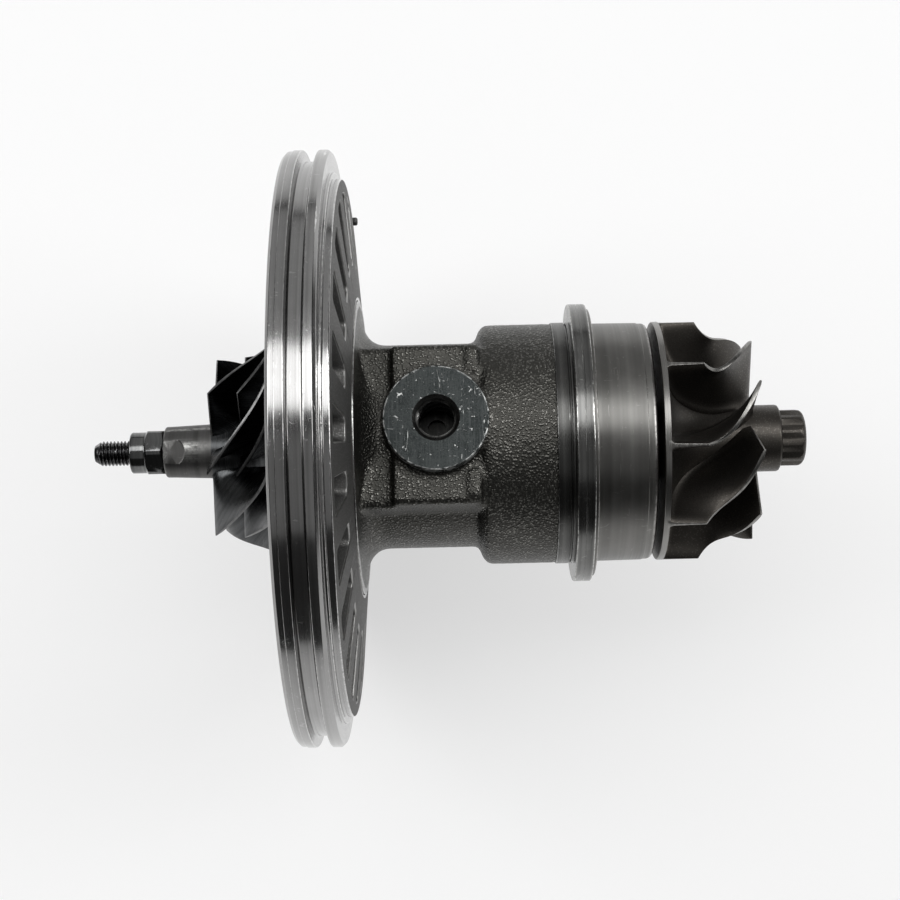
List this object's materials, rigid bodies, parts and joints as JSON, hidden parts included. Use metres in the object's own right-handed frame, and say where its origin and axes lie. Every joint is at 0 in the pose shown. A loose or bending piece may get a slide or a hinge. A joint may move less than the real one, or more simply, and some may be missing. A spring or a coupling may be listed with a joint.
{
  "type": "turbo cartridge",
  "caption": "Turbocharger core: bladed turbine and compressor wheels on one shaft, spinning in a cast bearing housing with a large machined backplate, oil ports and a heat shield.",
  "frame": {"origin": "on the shaft's axis, in the plane of the bearing housing's seat face for the turbine housing", "axes": "+X along the shaft towards the turbine wheel; +Z towards the oil inlet, so that oil drains towards -Z"},
  "size_m": [0.1979, 0.1652, 0.1652],
  "materials": {
    "cast_iron": "as cast, grey-brown, with turned bands",
    "machined_plate": "turned and polished rim, dull cast back",
    "sheet_steel": "drawn sheet, satin",
    "nickel_alloy": "dark investment casting, ground edges",
    "wheel_alloy": "machined, dark satin",
    "shaft_steel": "ground",
    "dark_steel": "dark, shiny",
    "spring_steel": "oiled black",
    "bronze": "bored and turned",
    "seal_rubber": "matt black"
  },
  "bodies": {
    "housing": {"bearing_housing": "cast_iron", "compressor_backplate": "machined_plate", "backplate_index_pin": "machined_plate", "backplate_dowel": "shaft_steel", "backplate_o_ring": "seal_rubber", "seal_plate": "shaft_steel", "seal_plate_o_ring": "seal_rubber", "seal_plate_snap_ring": "spring_steel", "thrust_bearing": "bronze", "oil_deflector": "sheet_steel", "heat_shield": "sheet_steel", "piston_ring_compressor": "cast_iron", "piston_ring_turbine": "cast_iron", "backplate_screw_1": "dark_steel", "backplate_screw_2": "dark_steel", "backplate_screw_3": "dark_steel", "backplate_screw_4": "dark_steel", "backplate_screw_5": "dark_steel", "backplate_screw_6": "dark_steel", "thrust_screw_1": "dark_steel", "thrust_screw_2": "dark_steel", "thrust_screw_3": "dark_steel", "bearing_clip_1": "spring_steel", "bearing_clip_2": "spring_steel", "bearing_clip_3": "spring_steel", "bearing_clip_4": "spring_steel"},
    "rotor": {"shaft": "shaft_steel", "turbine_wheel": "nickel_alloy", "compressor_wheel": "wheel_alloy", "shaft_nut": "dark_steel", "seal_sleeve": "shaft_steel", "thrust_collar": "shaft_steel", "thrust_runner": "shaft_steel"},
    "bearing_compressor_side": {"journal_bearing_compressor": "bronze"},
    "bearing_turbine_side": {"journal_bearing_turbine": "bronze"}
  },
  "joints": [
    {"name": "rotor_spin", "type": "hinge", "parent": "housing", "child": "rotor", "pos_m": [0, 0, 0], "axis": [1, 0, 0], "continuous": true},
    {"name": "bearing_compressor_side_spin", "type": "hinge", "parent": "housing", "child": "bearing_compressor_side", "pos_m": [-0.0545, 0, 0], "axis": [1, 0, 0], "continuous": true},
    {"name": "bearing_turbine_side_spin", "type": "hinge", "parent": "housing", "child": "bearing_turbine_side", "pos_m": [-0.0095, 0, 0], "axis": [1, 0, 0], "continuous": true}
  ]
}
